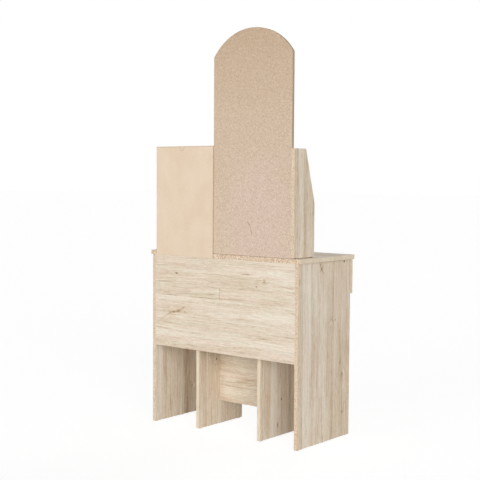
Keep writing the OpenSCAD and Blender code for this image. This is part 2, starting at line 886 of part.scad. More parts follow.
in_frame() upright(-hutch_x);  // mirror_upright
in_frame() upright(mirror_x1);  // cabinet_upright_inner
in_frame() upright(niche_x1);  // cabinet_upright_outer
in_frame() cabinet_top();
in_frame() cabinet_shelf(lower_shelf_z);  // cabinet_shelf_lower
in_frame() cabinet_shelf(upper_shelf_z);  // cabinet_shelf_upper
in_frame() cabinet_back_sheet();
in_frame() shelf_pins();
in_frame() mirror_board();
in_frame() mirror_glass();
in_frame() mirror_adhesive();
in_frame() mirror_dowels();
in_frame() upright_pads();
in_frame() upright_screws();
in_frame() cabinet_top_dowels();
in_frame() sheet_nails();

in_frame() slide_outer_members();
in_frame() slide_wall_screws();
in_frame() slide_middle_members(-1);  // left_slide_middle_members
in_frame() slide_middle_members(1);  // right_slide_middle_members

in_frame() drawer_front(-1);  // left_drawer_front
in_frame() drawer_box_front(-1);  // left_drawer_box_front
in_frame() drawer_side(-1, false);  // left_drawer_side_inner
in_frame() drawer_side(-1, true);  // left_drawer_side_outer
in_frame() drawer_back(-1);  // left_drawer_back
in_frame() drawer_bottom(-1);  // left_drawer_bottom
in_frame() drawer_knob(-1);  // left_drawer_knob
in_frame() drawer_slide_members(-1);  // left_drawer_slide_members
in_frame() drawer_screws(-1);  // left_drawer_screws
in_frame() drawer_bumpers(-1);  // left_drawer_bumpers

in_frame() drawer_front(1);  // right_drawer_front
in_frame() drawer_box_front(1);  // right_drawer_box_front
in_frame() drawer_side(1, false);  // right_drawer_side_inner
in_frame() drawer_side(1, true);  // right_drawer_side_outer
in_frame() drawer_back(1);  // right_drawer_back
in_frame() drawer_bottom(1);  // right_drawer_bottom
in_frame() drawer_knob(1);  // right_drawer_knob
in_frame() drawer_slide_members(1);  // right_drawer_slide_members
in_frame() drawer_screws(1);  // right_drawer_screws
in_frame() drawer_bumpers(1);  // right_drawer_bumpers

in_frame() stool_leg(-1);  // stool_leg_left
in_frame() stool_leg(1);  // stool_leg_right
in_frame() stool_cross_panel();
in_frame() stool_seat();
in_frame() stool_cushion();
in_frame() stool_cam_locks();
in_frame() stool_cam_bolts();
in_frame() stool_dowels();
in_frame() stool_glides();
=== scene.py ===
"""Looks for a vanity table in light oak laminate, with its arched mirror, cabinet and stool.

Lengths are metres in the frame of the CAD model. Sizes inside the materials are millimetres.
"""

import math

import bmesh
import bpy
import numpy as np
from mathutils import Matrix, Vector


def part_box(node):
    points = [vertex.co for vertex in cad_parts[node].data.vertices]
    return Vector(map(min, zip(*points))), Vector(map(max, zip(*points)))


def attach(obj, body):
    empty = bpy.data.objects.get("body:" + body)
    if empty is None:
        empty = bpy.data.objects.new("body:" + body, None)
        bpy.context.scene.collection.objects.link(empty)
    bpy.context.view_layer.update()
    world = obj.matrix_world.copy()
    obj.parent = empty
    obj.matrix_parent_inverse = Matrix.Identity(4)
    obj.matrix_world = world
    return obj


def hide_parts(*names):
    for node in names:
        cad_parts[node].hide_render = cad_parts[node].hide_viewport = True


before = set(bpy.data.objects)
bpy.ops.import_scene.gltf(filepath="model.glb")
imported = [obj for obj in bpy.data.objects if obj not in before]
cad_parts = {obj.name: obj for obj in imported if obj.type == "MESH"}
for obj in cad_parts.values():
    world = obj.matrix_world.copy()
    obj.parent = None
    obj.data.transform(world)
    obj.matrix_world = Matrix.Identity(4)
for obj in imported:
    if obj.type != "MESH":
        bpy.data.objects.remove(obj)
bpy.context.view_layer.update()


# ---------------------------------------------------------------- camera

CAMERA_PLACE = (-2.717188, 3.399230, 1.060548)
CAMERA_TURN = (219.321, 3.425, 0.332)         # azimuth, elevation and roll in degrees
FOCAL_LENGTH = 77.230125                      # millimetres, on a sensor 36 mm wide


def place_camera():
    """A long lens behind the table: it looks along azimuth and elevation, then rolls."""
    azimuth, elevation, roll = (math.radians(v) for v in CAMERA_TURN)
    back = Vector((math.sin(azimuth) * math.cos(elevation),
                   -math.cos(azimuth) * math.cos(elevation), math.sin(elevation)))
    right = (-back).cross(Vector((0, 0, 1))).normalized()
    up = right.cross(-back)
    turned_right = right * math.cos(roll) + up * math.sin(roll)
    turned_up = up * math.cos(roll) - right * math.sin(roll)
    lens = bpy.data.cameras.new("camera")
    lens.sensor_width = 36.0
    lens.lens = FOCAL_LENGTH
    lens.clip_end = 200.0
    camera = bpy.data.objects.new("camera", lens)
    axes = Matrix((turned_right, turned_up, back)).transposed()
    camera.matrix_world = Matrix.Translation(CAMERA_PLACE) @ axes.to_4x4()
    bpy.context.collection.objects.link(camera)
    bpy.context.scene.camera = camera


# ---------------------------------------------------------------- material tools

def linear(code):
    """An sRGB hex colour as linear red, green, blue and alpha."""
    parts = [int(code[i:i + 2], 16) / 255.0 for i in (1, 3, 5)]
    return (*(c / 12.92 if c <= 0.04045 else ((c + 0.055) / 1.055) ** 2.4 for c in parts), 1.0)


def link(tree, source, socket):
    """Links a node's first output, or the output given, to a socket."""
    if isinstance(source, bpy.types.Node):
        source = next(o for o in source.outputs if o.enabled)
    tree.links.new(source, socket)


def add(tree, kind, inputs=(), stops=(), **settings):
    """Adds one node; kind is its type without the word ShaderNode.

    inputs are values, hex colours, outputs or other nodes, by name or in order. stops are a ramp's
    (place, colour) pairs, where a colour is hex, one grey level or three plain numbers. settings
    are the node's own properties.
    """
    node = tree.nodes.new("ShaderNode" + kind)
    for name, value in settings.items():
        setattr(node, name, value)
    for key, value in (inputs if isinstance(inputs, dict) else dict(enumerate(inputs))).items():
        if isinstance(value, (bpy.types.Node, bpy.types.NodeSocket)):
            link(tree, value, node.inputs[key])
        else:
            node.inputs[key].default_value = linear(value) if isinstance(value, str) else value
    for i, (place, tone) in enumerate(stops):
        elements = node.color_ramp.elements
        if i == 0:
            elements.remove(elements[-1])
        stop = elements[0] if i == 0 else elements.new(place)
        stop.position = place
        if isinstance(tone, str):
            stop.color = linear(tone)
        else:
            stop.color = (*tone, 1.0) if isinstance(tone, tuple) else (tone, tone, tone, 1.0)
    return node


def new_material(name, roughness=0.5, metallic=0.0, **constants):
    """An empty material with a Principled shader; returns the material, its tree and the shader."""
    material = bpy.data.materials.new(name)
    material.use_nodes = True
    tree = material.node_tree
    shader = tree.nodes["Principled BSDF"]
    shader.inputs["Roughness"].default_value = roughness
    shader.inputs["Metallic"].default_value = metallic
    for key, value in constants.items():
        shader.inputs[key.replace("_", " ")].default_value = value
    return material, tree, shader


def object_millimetres(tree):
    """The coordinates' node, and the place on the piece in millimetres."""
    place = add(tree, "TexCoord")
    return place, add(tree, "VectorMath", {0: place.outputs["Object"], "Scale": 1000.0},
                      operation="SCALE")


def thin_sides(tree, place, axis):
    """1 on the sides of a board that don't face along the axis of its thickness."""
    normal = add(tree, "SeparateXYZ", [place.outputs["Normal"]])
    facing = add(tree, "Math", [normal.outputs[axis]], operation="ABSOLUTE")
    return add(tree, "Math", [facing, 0.6], operation="LESS_THAN")


def streaks(tree, place, sizes, shift=(0.0, 0.0, 0.0), **inputs):
    """Soft streaks: noise on a place divided by sizes, so its features are about that long."""
    scaled = add(tree, "VectorMath", [place, tuple(1.0 / size for size in sizes), shift],
                 operation="MULTIPLY_ADD")
    return add(tree, "TexNoise", {"Vector": scaled, "Scale": 1.0, **inputs})


def cover(tree, shader, colour, height=None, strength=0.0, depth=0.0):
    """Gives the shader its colour, and a relief from a height, depth metres deep."""
    link(tree, colour, shader.inputs["Base Color"])
    if height is not None:
        relief = add(tree, "Bump", {"Strength": strength, "Distance": depth, "Height": height})
        link(tree, relief, shader.inputs["Normal"])


def dress(material, *names):
    """Puts a material on every slot of the named CAD nodes."""
    for name in names:
        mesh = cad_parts[name].data
        if not mesh.materials:
            mesh.materials.append(material)
        for i in range(len(mesh.materials)):
            mesh.materials[i] = material


# ---------------------------------------------------------------- wood-based boards

NO_JOINT = -999.0                             # a joint's place that no board reaches
CLOUD_ALONG, CLOUD_ACROSS = 140.0, 26.0       # how far a noise shifts the soft patches, in all
SMOOTH = {"interpolation_type": "SMOOTHSTEP"}
OAK = [(0.0, "#856c54"), (0.2, "#b49b80"), (0.37, "#d4c0a8"), (0.5, "#e2d4c2"), (0.64, "#efe5d8"),
       (0.85, "#faf6ee")]
CHIPS = [(0.0, "#a57e5e"), (0.28, "#cdac8c"), (0.5, "#dfc9af"), (0.75, "#ead7c0"),
         (1.0, "#f4e7d5")]


def mark_reach(tree, place, along, across, half_length, half_width, tilt):
    """A long mark on a place of mm along and across the grain.

    Returns the place turned to the mark, and its distance from the mark's middle, 1 on the rim.
    """
    turned = add(tree, "Mapping", {"Vector": place, "Location": (along, across, 0.0),
                                   "Rotation": (0.0, 0.0, math.radians(tilt)),
                                   "Scale": (half_length, half_width, 1.0)}, vector_type="TEXTURE")
    reach = add(tree, "VectorMath", [turned], operation="LENGTH")
    return turned, reach.outputs["Value"]


def chipboard(tree, mm, contrast):
    """Colour of a sawn chipboard edge: pressed chips 2 to 4 mm across, as the real ones are."""
    chips = add(tree, "TexVoronoi", {"Vector": mm, "Scale": 0.32, "Randomness": 1.0})
    level = add(tree, "SeparateColor", [chips.outputs["Color"]])
    dust = add(tree, "TexNoise", {"Vector": mm, "Scale": 0.6, "Detail": 3.0})
    tone = add(tree, "Math", [level, contrast * 0.8, 0.52 - 0.75 * contrast],
               operation="MULTIPLY_ADD")
    tone = add(tree, "Math", [dust, contrast * 0.7, tone], operation="MULTIPLY_ADD")
    return add(tree, "ValToRGB", [tone], stops=CHIPS)


def oak_staves(tree, mm, u, v, rows):
    """Tone of the printed staves, and the darkness of the joints between their ends.

    The ramp's red and blue are the tones before and past a joint, its green is the joint's place.
    """
    rows = [row if len(row) == 4 else (*row, NO_JOINT, row[1]) for row in rows or [(-1000.0, 0.5)]]
    low, high = rows[0][0] - 1.0, rows[-1][0] + 1.0
    wander = streaks(tree, mm, (500, 300, 300))
    edge = add(tree, "Math", [wander, 10.0, v], operation="MULTIPLY_ADD")
    stave = add(tree, "ValToRGB", [add(tree, "MapRange", [edge, low + 5.0, high + 5.0])],
                stops=[((start - low) / (high - low), (tone, joint / 2000.0 + 0.5, past))
                       for start, tone, joint, past in rows])
    stave.color_ramp.interpolation = "CONSTANT"
    before, joint, past = add(tree, "SeparateColor", [stave]).outputs
    off_joint = add(tree, "Math", [joint, -2000.0, u], operation="MULTIPLY_ADD")
    off_joint = add(tree, "Math", [off_joint, 1000.0], operation="ADD")
    is_past = add(tree, "Math", [off_joint, 0.0], operation="LESS_THAN")
    tone = add(tree, "Mix", {"Factor": is_past, "A": before, "B": past})
    from_joint = add(tree, "Math", [off_joint], operation="ABSOLUTE")
    return tone, add(tree, "MapRange", [from_joint, 1.0, 4.0, 0.12, 0.0])


def oak_marks(tree, mm, flat, flow, dark, knots, cracks, patches):
    """Adds each mark's darkness to dark, and parts the grain round the knots.

    flow is the grain's place across the board, flat the plain place, mm the place with its depth.
    """
    ragged = streaks(tree, mm, (11, 3, 3))
    broken = add(tree, "MapRange", [ragged, 0.35, 0.6, 0.6, 1.15])
    for *shape, depth in knots:
        turned, reach = mark_reach(tree, flat, *shape)
        pull = add(tree, "MapRange", [reach, 0.3, 4.5, 1.0, 0.0],
                   interpolation_type="SMOOTHERSTEP")
        side = add(tree, "SeparateXYZ", [turned]).outputs["Y"]
        push = add(tree, "Math", [side, pull], operation="MULTIPLY")
        flow = add(tree, "Math", [push, -0.7 * shape[3], flow], operation="MULTIPLY_ADD")
        core = add(tree, "MapRange", [reach, 0.2, 1.3, depth, 0.0], **SMOOTH)
        dark = add(tree, "Math", [dark, core], operation="ADD")
        dark = add(tree, "Math", [pull, 0.1 * depth, dark], operation="MULTIPLY_ADD")
    for *shape, depth in cracks:
        reach = mark_reach(tree, flat, *shape)[1]
        core = add(tree, "MapRange", [reach, 0.3, 1.2, depth, 0.0], **SMOOTH)
        dark = add(tree, "Math", [core, broken, dark], operation="MULTIPLY_ADD")
    cloud = streaks(tree, mm, (110, 35, 35)).outputs["Color"]
    cloudy = add(tree, "VectorMath", [cloud, (CLOUD_ALONG, CLOUD_ACROSS, 0.0), flat],
                 operation="MULTIPLY_ADD")
    for along, across, *shape, depth in patches:
        middle = (along + CLOUD_ALONG / 2, across + CLOUD_ACROSS / 2)
        reach = mark_reach(tree, cloudy, *middle, *shape)[1]
        soft = add(tree, "MapRange", [reach, 0.1, 1.7, depth, 0.0], **SMOOTH)
        dark = add(tree, "Math", [dark, soft], operation="ADD")
    return flow, dark


def oak_laminate(name, along, through, raw=False, rows=(), knots=(), cracks=(), patches=(),
                 seed=0.0, contrast=0.6, bands=1.0):
    """Melamine-faced chipboard with a light oak print: pale staves, straight fibres, dark cracks.

    along is the grain's axis and through the board's thickness. raw leaves the chips of the rear
    edge bare, and contrast is how much those chips differ. rows are printed staves, as (where it
    starts across the grain, tone), with a joint's place along the grain and the tone past it where
    a stave ends. knots, cracks and soft patches are (along, across, half length, half width, tilt
    in degrees, darkness), and the grain parts round a knot only. bands is the strength of the
    print's long bands. Lengths are millimetres.
    """
    across = next(axis for axis in "XYZ" if axis not in (along, through))
    material, tree, shader = new_material(name, roughness=0.5, Specular_IOR_Level=0.25)
    place, on_piece = object_millimetres(tree)
    axes = add(tree, "SeparateXYZ", [on_piece])
    u, v, w = (axes.outputs[axis] for axis in (along, across, through))
    mm = add(tree, "CombineXYZ", [u, v, w])
    flat = add(tree, "CombineXYZ", [u, v])

    tone, dark = oak_staves(tree, mm, u, v, rows)
    stave_shift = add(tree, "Math", [tone, 4000.0, w], operation="MULTIPLY_ADD")
    drift = streaks(tree, mm, (700, 160, 160), (seed, seed, 0.3), Detail=1.0)
    flow = add(tree, "Math", [drift, 34.0, v], operation="MULTIPLY_ADD")
    flow, dark = oak_marks(tree, mm, flat, flow, dark, knots, cracks, patches)
    grain = add(tree, "CombineXYZ", [u, flow, stave_shift])

    # clouds, bands of 30 and 11 mm, lines of 4.5 mm, a mottle, and fibres, which are drawn 2.5 mm
    # wide because the real ones of 1 mm wouldn't show
    for sizes, detail, strength in (((260, 70, 200), 2.0, 0.2 * bands),
                                    ((1000, 30, 300), 2.0, 0.4 * bands),
                                    ((420, 11, 90), 2.0, 0.2), ((210, 4.5, 30), 2.0, 0.3),
                                    ((12, 6, 8), 2.0, 0.22), ((40, 2.5, 12), 1.0, 0.4)):
        fibre = streaks(tree, grain, sizes, (seed * 3.1, seed, seed), Detail=detail, Roughness=0.6)
        tone = add(tree, "Math", [fibre, strength, tone], operation="MULTIPLY_ADD")
        tone = add(tree, "Math", [tone, strength / 2], operation="SUBTRACT")
    # growth rings cut lengthwise: thin lines 15 mm apart that meet in pointed arches, and show
    # only in places
    arch = streaks(tree, grain, (620, 75, 200), (4.4, seed, 2.6), Detail=1.0)
    count = add(tree, "Math", [flow, 1.0 / 15.0], operation="MULTIPLY")
    count = add(tree, "Math", [arch, 7.0, count], operation="MULTIPLY_ADD")
    off_ring = add(tree, "Math", [count, 0.5], operation="PINGPONG")
    ring = add(tree, "MapRange", [off_ring, 0.02, 0.2, 1.0, 0.0])
    shows = streaks(tree, grain, (170, 28, 90), (7.3, seed, 0.4), Detail=1.0)
    depth = add(tree, "MapRange", [shows, 0.42, 0.64, 0.0, -0.08])
    tone = add(tree, "Math", [ring, depth, tone], operation="MULTIPLY_ADD")
    # here and there a thin brown vessel line
    vessel = streaks(tree, grain, (170, 3.4, 20), (seed, 7.7, 1.9))
    line = add(tree, "MapRange", [vessel, 0.66, 0.76, 0.0, 0.2])
    for darker in (line, dark):
        tone = add(tree, "Math", [tone, darker], operation="SUBTRACT")
    printed = add(tree, "ValToRGB", [tone], stops=OAK)

    # patches lean to pink or to olive
    hue = streaks(tree, grain, (260, 20, 200), (2.2, seed, 5.1), Detail=2.0)
    cast = add(tree, "Mix", {"Factor": add(tree, "MapRange", [hue, 0.35, 0.65]), "A": "#fdfffb",
                             "B": "#fffbf8"}, data_type="RGBA")
    tinted = add(tree, "Mix", {"Factor": 1.0, "A": printed, "B": cast}, data_type="RGBA",
                 blend_type="MULTIPLY")

    # the thin sides carry a plain edge band, except where the chips are left bare
    banded = add(tree, "Math", [thin_sides(tree, place, through), 0.6], operation="MULTIPLY")
    colour = add(tree, "Mix", {"Factor": banded, "A": tinted, "B": "#e8d7bd"}, data_type="RGBA")
    if raw:
        normal = add(tree, "SeparateXYZ", [place.outputs["Normal"]])
        bare = add(tree, "Math", [normal.outputs["Y"], 0.7], operation="GREATER_THAN")
        colour = add(tree, "Mix", {"Factor": bare, "A": colour, "B": chipboard(tree, mm, contrast)},
                     data_type="RGBA")
        dull = add(tree, "Math", [bare, 0.35, 0.5], operation="MULTIPLY_ADD")
        link(tree, dull, shader.inputs["Roughness"])
    cover(tree, shader, colour, fibre, 0.25, 0.0001)
    return material


def worn_lines(tree, flat, marks, depth, rim):
    """Strength of fine scratches: depth in the middle of each, none at rim times its half width."""
    wear = 0.0
    for mark in marks:
        reach = mark_reach(tree, flat, *mark)[1]
        line = add(tree, "MapRange", [reach, 0.4, rim, depth, 0.0])
        wear = add(tree, "Math", [wear, line], operation="ADD")
    return wear


def bare_fibreboard():
    """Raw 12 mm MDF: felted fibres, matt, speckled, pinkish low down, painted shade up top, one
    bent scratch.
    """
    material, tree, shader = new_material("bare fibreboard", roughness=0.85, Specular_IOR_Level=0.2)
    place, mm = object_millimetres(tree)
    x, _, z = add(tree, "SeparateXYZ", [mm]).outputs
    flat = add(tree, "CombineXYZ", [x, z])
    tufts = add(tree, "TexVoronoi", {"Vector": mm, "Scale": 0.34, "Randomness": 1.0})
    random = add(tree, "SeparateColor", [tufts.outputs["Color"]])
    dust = add(tree, "TexNoise", {"Vector": mm, "Scale": 0.7, "Detail": 2.0})
    felt = add(tree, "Math", [random, 0.5, 0.1], operation="MULTIPLY_ADD")
    felt = add(tree, "Math", [dust, 0.5, felt], operation="MULTIPLY_ADD")
    # painted shade: the colour darkens from low down towards the top of the board, where less light
    # falls on it
    ground_with_painted_shade = add(tree, "ValToRGB", [add(tree, "MapRange", [z, 1650.0, 800.0])],
                 stops=[(0.0, "#c5ad93"), (0.4, "#d2bba3"), (0.8, "#d4bfa8"), (1.0, "#d7c3ac")])
    cloud = add(tree, "TexNoise", {"Vector": mm, "Scale": 0.01, "Detail": 5.0, "Roughness": 0.6})
    near = mark_reach(tree, flat, -188.0, 872.0, 180.0, 290.0, 0.0)[1]
    near = add(tree, "Math", [cloud, -1.6, near], operation="MULTIPLY_ADD")
    pink = add(tree, "MapRange", [near, -0.4, 0.5, 1.0, 0.0], **SMOOTH)
    zone = add(tree, "Mix", {"Factor": pink, "A": ground_with_painted_shade, "B": "#d9c1b0"}, data_type="RGBA")
    speck = add(tree, "ValToRGB", [felt],
                stops=[(0.15, (0.75, 0.65, 0.6)), (0.6, 1.0), (0.95, (1.16, 1.24, 1.3))])
    colour = add(tree, "Mix", {"Factor": 1.0, "A": zone, "B": speck}, data_type="RGBA",
                 blend_type="MULTIPLY")
    strokes = ((-138.6, 879.0, 14.0, 3.4, 52.0), (-151.0, 850.0, 16.0, 2.4, 77.0))
    marked = add(tree, "Mix", {"Factor": worn_lines(tree, flat, strokes, 0.6, 1.3), "A": colour,
                               "B": "#9c8166"}, data_type="RGBA")
    edged = add(tree, "Mix", {"Factor": thin_sides(tree, place, "Y"), "A": marked, "B": "#b6a288"},
                data_type="RGBA")
    cover(tree, shader, edged, felt, 0.3, 0.0002)
    return material


def thin_hardboard():
    """Smooth 3 mm hardboard: pale and even, a browner sawn rim, a small nick and painted shade at
    its top edge.
    """
    material, tree, shader = new_material("thin hardboard", roughness=0.62, Specular_IOR_Level=0.3)
    place, mm = object_millimetres(tree)
    x, _, z = add(tree, "SeparateXYZ", [mm]).outputs
    flat = add(tree, "CombineXYZ", [x, z])
    wave = streaks(tree, mm, (70, 70, 110), Detail=3.0)
    # bundles of fibres, drawn 6 mm wide because 1 mm wouldn't show
    bundles = add(tree, "TexNoise", {"Vector": mm, "Scale": 0.17, "Detail": 3.0, "Roughness": 0.6})
    tone = add(tree, "Math", [wave, 0.225], operation="SUBTRACT")
    tone = add(tree, "Math", [bundles, 0.8, tone], operation="MULTIPLY_ADD")
    colour = add(tree, "ValToRGB", [tone],
                 stops=[(0.4, "#e2cbb1"), (0.67, "#e5d0b7"), (0.95, "#e9d5be")])
    nick = ((210.0, 1181.0, 12.0, 1.6, -48.0), (226.0, 1181.0, 12.0, 1.6, 48.0))
    # painted shade: a dark line along the sheet's top edge, mixed with the nick's real wear into
    # one darker colour
    rim = add(tree, "MapRange", [z, 1188.5, 1191.5, 0.0, 0.5])
    wear = add(tree, "Math", [worn_lines(tree, flat, nick, 0.45, 1.4), rim], operation="ADD")
    worn_and_shaded = add(tree, "Mix", {"Factor": wear, "A": colour, "B": "#a58865"}, data_type="RGBA")
    edged = add(tree, "Mix", {"Factor": thin_sides(tree, place, "Y"), "A": worn_and_shaded, "B": "#d0b899"},
                data_type="RGBA")
    cover(tree, shader, edged, wave, 0.2, 0.0003)
    return material


# ---------------------------------------------------------------- glass, metal, plastic, cloth

def silvered_glass():
    """Float glass silvered behind: a clear reflection, grey-green sawn edges, a painted back."""
    material, tree, shader = new_material("silvered glass", roughness=0.02, metallic=1.0)
    place = add(tree, "TexCoord")
    normal = add(tree, "SeparateXYZ", [place.outputs["Normal"]])
    front = add(tree, "Math", [normal.outputs["Y"], -0.7], operation="LESS_THAN")
    haze = add(tree, "TexNoise", {"Vector": place.outputs["Object"], "Scale": 7.0, "Detail": 3.0})
    silver = add(tree, "ValToRGB", [haze], stops=[(0.3, "#e4e9e8"), (0.7, "#ebeeed")])
    cover(tree, shader, add(tree, "Mix", {"Factor": front, "A": "#6f8279", "B": silver},
                            data_type="RGBA"))
    link(tree, front, shader.inputs["Metallic"])
    gloss = add(tree, "MapRange", [front, 0.0, 1.0, 0.25, 0.015])
    link(tree, gloss, shader.inputs["Roughness"])
    return material


def plated_metal(name, light, dark, roughness, brush=(1.0, 1.0, 1.0)):
    """Plated metal: blasting 0.6 mm wide, drawn out where brush is small, and cloudy patches."""
    material, tree, shader = new_material(name, roughness=roughness, metallic=1.0)
    place = add(tree, "TexCoord").outputs["Object"]
    mm = add(tree, "VectorMath", [place, tuple(1000.0 * b for b in brush)], operation="MULTIPLY")
    grain = add(tree, "TexNoise", {"Vector": mm, "Scale": 1.6, "Detail": 3.0})
    cloud = add(tree, "TexNoise", {"Vector": place, "Scale": 60.0, "Detail": 2.0})
    colour = add(tree, "Mix", {"Factor": cloud, "A": dark, "B": light}, data_type="RGBA")
    cover(tree, shader, colour, grain, 0.15, 0.00005)
    dull = add(tree, "MapRange", [grain, 0.3, 0.7, roughness - 0.08, roughness + 0.1])
    link(tree, dull, shader.inputs["Roughness"])
    return material


def moulded(name, light, dark, roughness):
    """Moulded plastic or rubber: nearly even colour with a spark-eroded grain of 0.5 mm."""
    material, tree, shader = new_material(name, roughness=roughness)
    mm = object_millimetres(tree)[1]
    grain = add(tree, "TexNoise", {"Vector": mm, "Scale": 2.0, "Detail": 2.0})
    colour = add(tree, "Mix", {"Factor": grain, "A": dark, "B": light}, data_type="RGBA")
    cover(tree, shader, colour, grain, 0.2, 0.00005)
    return material


def turned_beech():
    """Beech dowels: short flecks along and across."""
    material, tree, shader = new_material("turned beech", roughness=0.6)
    mm = object_millimetres(tree)[1]
    fleck = add(tree, "TexNoise", {"Vector": mm, "Scale": 1.2, "Detail": 3.0})
    cover(tree, shader, add(tree, "ValToRGB", [fleck],
                            stops=[(0.3, "#c39a68"), (0.55, "#dcba8b"), (0.75, "#e9cfa6")]))
    return material


def woven_cloth(name, thread_light, thread_dark):
    """Upholstery cloth in plain weave: threads 1.6 mm apart, slightly uneven, soft and matt."""
    material, tree, shader = new_material(name, roughness=0.9, Specular_IOR_Level=0.2,
                                          Sheen_Weight=0.25, Sheen_Roughness=0.5)
    mm = object_millimetres(tree)[1]
    x, y, z = add(tree, "SeparateXYZ", [mm]).outputs
    waves = []
    for across in (x, y):
        place = add(tree, "Math", [across, z], operation="ADD")
        phase = add(tree, "Math", [place, 2 * math.pi / 1.6], operation="MULTIPLY")
        waves.append(add(tree, "Math", [phase], operation="SINE"))
    weave = add(tree, "Math", waves, operation="MULTIPLY")
    weave = add(tree, "Math", [weave, 0.35, 0.5], operation="MULTIPLY_ADD")
    blotch = add(tree, "TexNoise", {"Vector": mm, "Scale": 0.05, "Detail": 2.0})
    tone = add(tree, "Math", [blotch, 0.5, weave], operation="MULTIPLY_ADD")
    colour = add(tree, "Mix", {"Factor": tone, "A": thread_dark, "B": thread_light},
                 data_type="RGBA")
    cover(tree, shader, colour, weave, 0.5, 0.0004)
    return material


# ---------------------------------------------------------------- shapes

def surface(name, grid, material, closed_u=False, closed_v=False, caps=False):
    """Mesh of a grid of points: grid[i, j] is the point at step i along u and step j along v."""
    rows, columns = grid.shape[:2]
    i = np.arange(rows if closed_u else rows - 1)[:, None]
    j = np.arange(columns if closed_v else columns - 1)[None, :]
    next_i, next_j = (i + 1) % rows, (j + 1) % columns
    quads = np.stack([i * columns + j, next_i * columns + j, next_i * columns + next_j,
                      i * columns + next_j], -1)
    faces = quads.reshape(-1, 4).tolist()
    if caps:
        faces.append(list(range(columns))[::-1])
        faces.append(list(range((rows - 1) * columns, rows * columns)))
    mesh = bpy.data.meshes.new(name)
    mesh.from_pydata(grid.reshape(-1, 3).tolist(), [], faces)
    mesh.materials.append(material)
    mesh.shade_smooth()
    piece = bpy.data.objects.new(name, mesh)
    bpy.context.collection.objects.link(piece)
    tidy_mesh(mesh)
    return piece


def tidy_mesh(mesh):
    """Merges doubled points and turns every face outwards."""
    work = bmesh.new()
    work.from_mesh(mesh)
    bmesh.ops.remove_doubles(work, verts=work.verts, dist=1e-6)
    bmesh.ops.recalc_face_normals(work, faces=work.faces)
    work.to_mesh(mesh)
    work.free()


def turned_knob(name, node, material):
    """Knob turned on an axis along Y: a profile of (radius, reach) carried round in 64 steps.

    The foot narrows by a cube to the waist, a quarter of an ellipse flares to the rim, the rim
    bulges by a half sine and a quarter of an ellipse closes the domed head.
    """
    low, high = (np.array(corner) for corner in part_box(node))
    middle = (low + high) / 2
    reach, head = high[1] - low[1], (high[0] - low[0]) / 2
    foot, waist, rim_low = 0.5 * head, 0.36 * head, 0.97 * head
    neck_end, rim_start, rim_end = 0.18 * reach, 0.70 * reach, 0.76 * reach
    t = np.linspace(0.0, 1.0, 20)
    rise, fall = np.sin(t * math.pi / 2), np.cos(t * math.pi / 2)
    neck = np.stack([waist + (foot - waist) * (1 - t) ** 3, neck_end * t], -1)
    flare = np.stack([waist + (rim_low - waist) * (1 - fall),
                      neck_end + (rim_start - neck_end) * rise], -1)
    rim = np.stack([rim_low + (head - rim_low) * np.sin(t * math.pi),
                    rim_start + (rim_end - rim_start) * t], -1)
    dome = np.stack([rim_low * fall, rim_end + (reach - rim_end) * rise], -1)
    profile = np.concatenate([[[0.0, 0.0]], neck, flare[1:], rim[1:], dome[1:]])
    angle = np.linspace(0.0, 2 * math.pi, 64, endpoint=False)
    radius, out = profile[:, 0][:, None], profile[:, 1][:, None]
    grid = np.stack([middle[0] + radius * np.cos(angle), high[1] - out + 0 * angle,
                     middle[2] + radius * np.sin(angle)], -1)
    return surface(name, grid, material, closed_v=True)


# ---------------------------------------------------------------- the stool's cushion

SKIN_STEP = 0.005                             # metres between the points of the cover
SIDE_ROOM, TOP_ROOM = 0.004, 0.009            # room left for the swell
RIM_SWELL, CROWN_SWELL = 0.0025, 0.0065       # how far the rim may move, and the middle beyond it
SWELL_FRAMES = 20
PIPING_RADIUS, PIPING_LEVEL = 0.0025, 0.70    # and the share of the cushion's height it lies at
RIM_BELT, RIM_SPREAD = 0.004, 0.035           # metres and radians that the rim is averaged over


def cushion_form(low, high):
    """Closed rounded box: a superellipse carried from bottom to top, narrower towards both.

    The outline's sides pull in by 1.6% between the corners.
    """
    size, middle = high - low, (high + low) / 2
    angle = np.linspace(0.0, 2 * math.pi, 128, endpoint=False)
    level = np.linspace(-1.0, 1.0, 15)[:, None]
    power = 2.0 / 9.0
    x = np.sign(np.cos(angle)) * np.abs(np.cos(angle)) ** power
    y = np.sign(np.sin(angle)) * np.abs(np.sin(angle)) ** power
    waist = 1.0 - 0.016 * (1.0 - np.abs(np.sin(2 * angle)))
    inset = (1.0 - 0.035 * np.abs(level) ** 4) * waist
    return np.stack([middle[0] + size[0] / 2 * x * inset, middle[1] + size[1] / 2 * y * inset,
                     middle[2] + size[2] / 2 * level + 0 * angle], -1)


def stuffed_cushion(cloth):
    """The pad: remeshed, swollen by a cloth simulation, and held to its board.

    A point's move is limited to the rim's swell plus the crown's, which falls off with the cube of
    its share of the way to each side, so the top is crowned.
    """
    low, high = (np.array(corner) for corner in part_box("stool_cushion"))
    start_low = low + (SIDE_ROOM, SIDE_ROOM, 0.0)
    start_high = high - (SIDE_ROOM, SIDE_ROOM, TOP_ROOM)
    pad = surface("seat_pad", cushion_form(start_low, start_high), cloth, closed_v=True, caps=True)
    bpy.context.view_layer.objects.active = pad
    remesh = pad.modifiers.new("even skin", "REMESH")
    remesh.mode = "VOXEL"
    remesh.voxel_size = SKIN_STEP
    swap_mesh(pad, cloth)
    rest = read_points(pad)
    swell(pad)
    move = read_points(pad) - rest
    far = np.linalg.norm(move, axis=1, keepdims=True)
    share = (rest - (low + high) / 2) / ((high - low) / 2)
    crown = np.clip(1 - np.abs(share[:, :2]) ** 3, 0, 1).prod(axis=1, keepdims=True)
    limit = RIM_SWELL + CROWN_SWELL * crown
    points = rest + move * np.minimum(1.0, limit / np.maximum(far, 1e-9))
    points[:, 2] = np.maximum(points[:, 2], low[2])
    pad.data.vertices.foreach_set("co", points.ravel())
    pad.data.update()
    finer = pad.modifiers.new("finer skin", "SUBSURF")
    finer.levels = finer.render_levels = 1
    return pad


